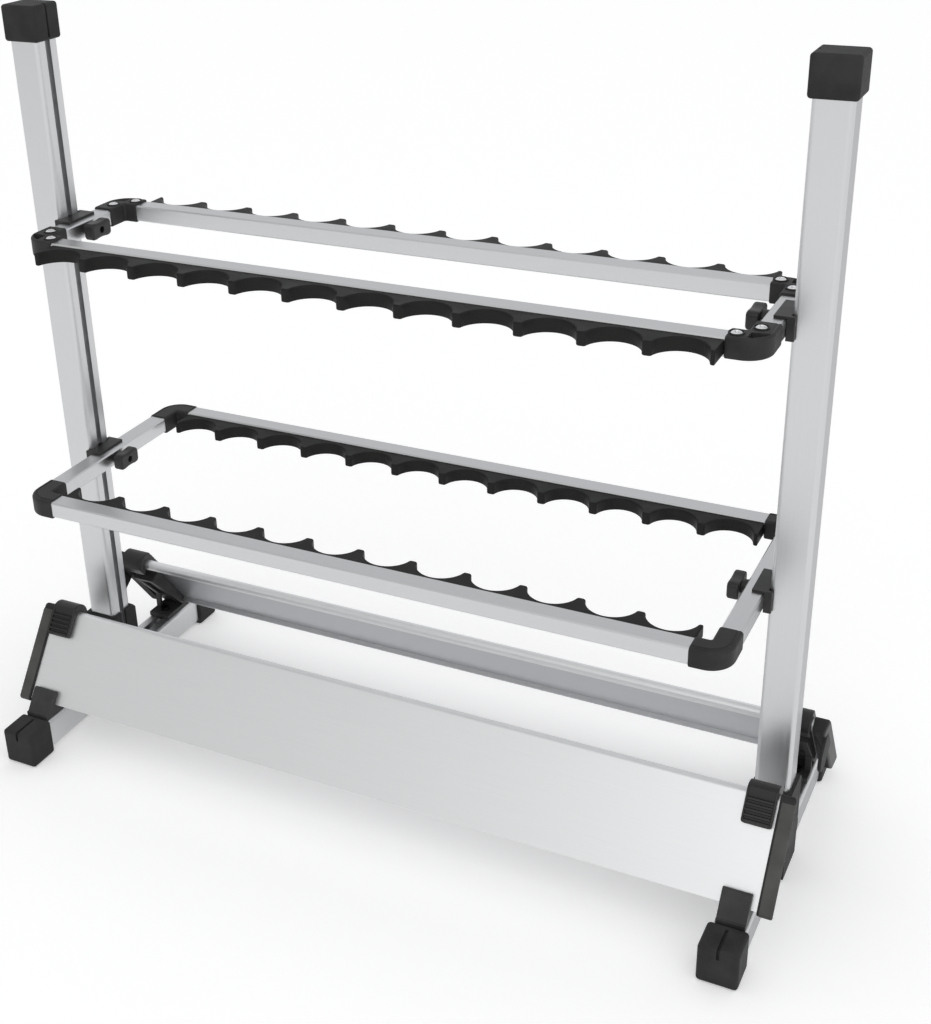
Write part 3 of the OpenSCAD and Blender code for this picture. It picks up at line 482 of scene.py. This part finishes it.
# Rails of the two sliding frames. Small anodised aluminium tubes with bevelled edges. The long ones
# have a slot for the strip, and the end ones a hole for the clamping stud.
FRAMES = {"upper": (388.0, 54.0), "lower": (212.0, 90.2)}  # top of the rails, half the frame's width
RAIL_W, RAIL_HALF_H = 13, 5.65
rail_x = anodised_aluminium("anodised_aluminium_long_rail", "x", "#CFD0D1", 0.32)
rail_y = anodised_aluminium("anodised_aluminium_end_rail", "y", "#CFD0D1", 0.32)
for level_name in FRAMES:
    for face in ("front", "rear"):
        dress(f"{level_name}_{face}_rail", rail_x)
    for hand in HANDS:
        dress(f"{level_name}_{hand}_rail", rail_y)


# Rod strips. Combs of twelve round notches moulded in black polypropylene, with soft edges, pushed
# with a tongue into the slot of the long rails.
def comb_outline(places=12, pitch=38.0, r=16.6, web=3.6, reach=17.4, tip=1.9):
    """Plan of a strip. Each notch is an arc about a point r + web from the rail, and each tooth ends in two
    arcs of radius tip that meet the straight tip. The outline runs back along the rail face."""
    centre = web + r
    half = math.sqrt(r * r - (reach - tip - centre) ** 2)
    low = math.degrees(math.asin((reach - tip - centre) / r))
    one = np.concatenate([arc(half + tip, reach - tip, tip, 90, 180, 6), arc(0, centre, r, low, -180 - low, 37),
                          arc(-half - tip, reach - tip, tip, 0, 90, 6)])
    steps = ((places - 1) / 2 - np.arange(places)) * pitch
    teeth = (one[None] + np.stack([steps, steps * 0], 1)[:, None]).reshape(-1, 2)
    hx = places * pitch / 2
    return np.concatenate([[(-hx, 0), (hx, 0), (hx, reach - 0.3)], teeth, [(-hx, reach - 0.3)]])


strip_plastic = moulded_abs("moulded_polypropylene_strips", "#10100F", 0.54, 0.22)
strip_under, strip_over = 10.05, 1.25  # its underside and its top, below the top of the rail
for level_name, (top, half_width) in FRAMES.items():
    plan = comb_outline()
    plan = plan + (0, half_width) if level_name == "upper" else plan[::-1] * (1, -1) + (0, half_width - RAIL_W)
    part = skin(eased_rings(plan, top - strip_under, top - strip_over, 0.9, 1.2, 5))
    for face, sy in (("front", -1), ("rear", 1)):
        make_piece(f"{level_name}_{face}_rod_strip", [part], strip_plastic, f"{level_name}_frame",
                   [f"{level_name}_{face}_strip"], (1, sy))

# Corner fittings. Elbows moulded in black ABS that the rails plug into, with round edges. The upper
# ones have two screw collars and a wedge-shaped recess in the top.
FITTING_START_X, END_RAIL_X, FITTING_ARM = 228, 245, 23.0
SCREW_SIDE, PLAIN_SIDE = 6.95, 6.45  # how far a fitting reaches over and under the rail's middle


def elbow(half_width, low, high, outer, inner, recess, crease):
    """A rounded section carried along an elbow: straight along x, round an arc of radius 8.7 and straight along
    y, with its ends drawn in by e (1 - sin t) as a quarter round. The recess is a slanting floor that starts
    at a line across the corner and goes down 0.9 mm per mm away from it, up to two walls. The crease is a
    hollow of half a cosine wave, 1.4 mm wide, beside the outer edge."""
    y_mid, half, bend, e = RAIL_W / 2 - half_width, 7.3, 8.7, 1.0
    under_inner, under_outer = 1.2, 1.8
    recess_x, recess_y, recess_w, recess_wall = 240, 1.8, 7.9, 0.5
    crease_in, crease_half = 0.9, 0.7
    arm_a, turned, arm_b = END_RAIL_X - bend - FITTING_START_X, bend * math.pi / 2, FITTING_ARM - bend
    length = arm_a + turned + arm_b
    t = np.radians(np.linspace(0, 90, 5))
    run = np.concatenate([e - e * np.cos(t), np.linspace(e, length - e, 72)[1:-1],
                          length - e + e * np.cos(t[::-1])])
    inset = np.zeros((len(run), 1))
    inset[:len(t), 0], inset[-len(t):, 0] = e - e * np.sin(t), e - e * np.sin(t[::-1])
    angle = np.clip((run - arm_a) / bend, 0, math.pi / 2)
    x = FITTING_START_X + np.minimum(run, arm_a) + bend * np.sin(angle)
    y = y_mid + bend * (1 - np.cos(angle)) + np.maximum(run - arm_a - turned, 0)
    q = np.radians(np.linspace(0, 90, 7))
    one = np.ones((len(run), 1))
    over = np.linspace(0, 1, 30)[1:-1]
    side, floor_z, top_z = half - inset, low + inset, high - inset
    n = [side - outer + outer * np.cos(q), side - outer + (outer + inner - 2 * side) * over,
         inner - side - inner * np.sin(q), under_inner - side - under_inner * np.cos(q),
         side - under_outer + under_outer * np.sin(q)]
    z = [top_z - outer + outer * np.sin(q), top_z * np.ones((1, len(over))), top_z - inner + inner * np.cos(q),
         floor_z + under_inner - under_inner * np.sin(q), floor_z + under_outer - under_outer * np.cos(q)]
    n, z = np.concatenate(n, 1), np.concatenate([one * part for part in z], 1)
    px, py = x[:, None] + np.sin(angle)[:, None] * n, y[:, None] - np.cos(angle)[:, None] * n
    dx, dy = px - recess_x, py + half_width - recess_y
    walls = np.clip(dx / recess_wall, 0, 1) * np.clip((recess_w + 0.17 * dx - dy) / recess_wall, 0, 1)
    on_top = (z > high - 0.6) * (n < half - outer + 0.01)
    dip = np.cos(np.clip((n - half + outer + crease_in) / crease_half, -1, 1) * math.pi / 2)
    slant = np.clip(np.minimum(2 * dy, 0.9 * dy - 0.77 * (dx - 2.5)), 0, 6)
    z = z - on_top * (recess * walls * slant + crease * dip)
    return skin(np.stack([px, py, z], 2))


def collar(x, y, z):
    """A round rim about a screw: circles of 48 points that go up the outside, over the rim and down to the
    seat."""
    r = np.array([4.7, 4.7, 4.55, 4.25, 4.0, 3.8, 3.8])[:, None]
    up = np.array([-1.0, 0.5, 0.74, 0.8, 0.74, 0.5, 0.05])[:, None]
    t = np.radians(np.arange(0, 360, 7.5))[None]
    return skin(np.stack([x + r * np.cos(t), y + r * np.sin(t), z + up + t * 0], 2))


SCREW_PLACES = ((232.7, 6.5), (243, 19))  # x, and y from the frame's outer side
fitting_abs = moulded_abs("moulded_abs_fittings", "#2B2B2B", 0.48, 0.15)
for level_name, (top, half_width) in FRAMES.items():
    mid = top - RAIL_HALF_H
    if level_name == "upper":
        parts = [elbow(half_width, mid - PLAIN_SIDE, mid + SCREW_SIDE, 1.6, 1.2, 1.0, 0.3)]
        parts += [collar(x, y - half_width, mid + SCREW_SIDE) for x, y in SCREW_PLACES]
    else:
        parts = [elbow(half_width, mid - SCREW_SIDE, mid + PLAIN_SIDE, 2.4, 1.8, 0.0, 0.55)]
    for side, mirror in SIDES.items():
        make_piece(f"{level_name}_{side}_elbow", parts, fitting_abs, f"{level_name}_frame",
                   [f"{level_name}_{side}_corner"], mirror)

# Sliders. Black ABS brackets between the end rails and the uprights, with a lip over the rail. The
# stud of the wing knob goes through them and clamps them to the upright.
for level_name in FRAMES:
    for hand in HANDS:
        eased_copy(f"{level_name}_{hand}_slide_bracket", f"{level_name}_{hand}_slider", clip_abs,
                   f"{level_name}_frame")


# Screws and T-nuts. Bright zinc-plated pan heads with a cross in the upper corners, blackened
# screws in the base and plain nuts that stay out of sight.
def plated_steel(name, colour, roughness):
    """Zinc-plated steel: a bright metal with a cloudy film 4 mm across that changes its roughness."""
    made, tree = empty_material(name)
    here = add_node(tree, "ShaderNodeTexCoord")
    film = add_node(tree, "ShaderNodeTexNoise", {"Scale": 250.0, "Detail": 4.0},
                    {"Vector": here.outputs["Object"]})
    rough = add_node(tree, "ShaderNodeMapRange", {"To Min": roughness - 0.06, "To Max": roughness + 0.1},
                     {"Value": film.outputs[0]})
    body = add_node(tree, "ShaderNodeBsdfPrincipled", {"Metallic": 1.0, "Base Color": to_linear(colour)},
                    {"Roughness": rough.outputs[0]})
    add_node(tree, "ShaderNodeOutputMaterial", links={"Surface": body.outputs[0]})
    return made


def pan_screw(x, y, z):
    """A pan-head screw with its seat at z. The head's height over its seat is 0.9 + 1.0 (1 - (r / 3.3)^2.6)
    less a cross 1 mm wide and 1.1 mm deep, and the shank of radius 1.45 goes 6 mm down."""
    t = np.radians(np.arange(0, 360, 3.75))[None]
    dome_r = np.linspace(3.25, 0.1, 30)
    r = np.concatenate([[1.45, 1.45, 3.3, 3.3], dome_r])[:, None]
    up = np.concatenate([[-6, 0, 0, 0.8], 0.9 + 1.0 * (1 - (dome_r / 3.3) ** 2.6)])[:, None]
    px, py = r * np.cos(t), r * np.sin(t)
    thin, long = np.minimum(np.abs(px), np.abs(py)), np.maximum(np.abs(px), np.abs(py))
    cross = np.clip((0.6 - thin) / 0.2, 0, 1) * np.clip((2.2 - long) / 0.4, 0, 1) * (up > 0.85)
    return skin(np.stack([x + px, y + py, z + up - 1.1 * cross], 2))


zinc = plated_steel("zinc_plated_steel", "#E6E7E8", 0.2)
black_steel = plated_steel("blackened_steel", "#3A3A3B", 0.4)
dress("base_screws", black_steel)
for node in ("base_nuts", "lower_corner_screws", "upper_tee_nuts", "lower_tee_nuts"):
    dress(node, zinc)
top, half_width = FRAMES["upper"]
seat_z = top - RAIL_HALF_H + SCREW_SIDE - 0.6
front_two = [pan_screw(x, y - half_width, seat_z) for x, y in SCREW_PLACES]
four_sides = [(points * (sx, sy, 1), [block[:, ::sx * sy] for block in blocks])
              for sx, sy in SIDES.values() for points, blocks in front_two]
make_piece("upper_corner_pan_screws", four_sides, zinc, "upper_frame", ["upper_corner_screws"])

# Wing knobs. Black ABS bars with round corners, a shallow waist and a hole in the face, moulded on
# a steel stud that goes through the end rail and the slider into the T-nut.
wing_near, wing_far, neck_end, stud_end = 227.3, 234.9, 238.2, 260.6
lobe_y, lobe_z, lobe_r, waist_r, edge_steps = 7.5, 2.8, 3, 30, 8
hole_r, neck_r, stud_r = 2.3, 4.6, 2
waist_z = lobe_z + lobe_r - 0.5 + waist_r
lobes = np.concatenate([arc(lobe_y, -lobe_z, lobe_r, -90, 0, 9), arc(lobe_y, lobe_z, lobe_r, 0, 90, 9),
                        arc(0, waist_z, waist_r, -79, -101, 13), arc(-lobe_y, lobe_z, lobe_r, 90, 180, 9),
                        arc(-lobe_y, -lobe_z, lobe_r, 180, 270, 9), arc(0, -waist_z, waist_r, 101, 79, 13)])
wing = eased_rings(lobes, wing_near, wing_far, 1.8, 1.2, edge_steps)
widest = wing[edge_steps - 1, :, :2]
ray = widest / np.hypot(*widest.T)[:, None]
hole_steps = ((hole_r, wing_near + 3), (hole_r, wing_near + 0.3), (hole_r + 0.3, wing_near))
neck_steps = ((neck_r, wing_far), (neck_r, neck_end - 0.2), (neck_r - 0.2, neck_end))
hole, neck = ([np.column_stack([ray * r, np.full(len(ray), x)]) for r, x in steps]
              for steps in (hole_steps, neck_steps))
wing = np.concatenate([hole, wing, neck])
stud = eased_rings(arc(0, 0, stud_r, 0, 350, 36), neck_end - 0.2, stud_end, 0.1, 0.5, 3)
for level_name, (top, _) in FRAMES.items():
    for hand, sx in HANDS.items():
        body_name = f"{level_name}_{hand}_knob_body"
        lifted = [np.stack([part[..., 2], part[..., 0], part[..., 1] + top - RAIL_HALF_H], -1)
                  for part in (wing, stud)]
        make_piece(f"{level_name}_{hand}_wing", [skin(lifted[0])], clip_abs, body_name,
                   [f"{level_name}_{hand}_knob"], (sx, 1))
        make_piece(f"{level_name}_{hand}_knob_stud", [skin(lifted[1])], zinc, body_name, (), (sx, 1))
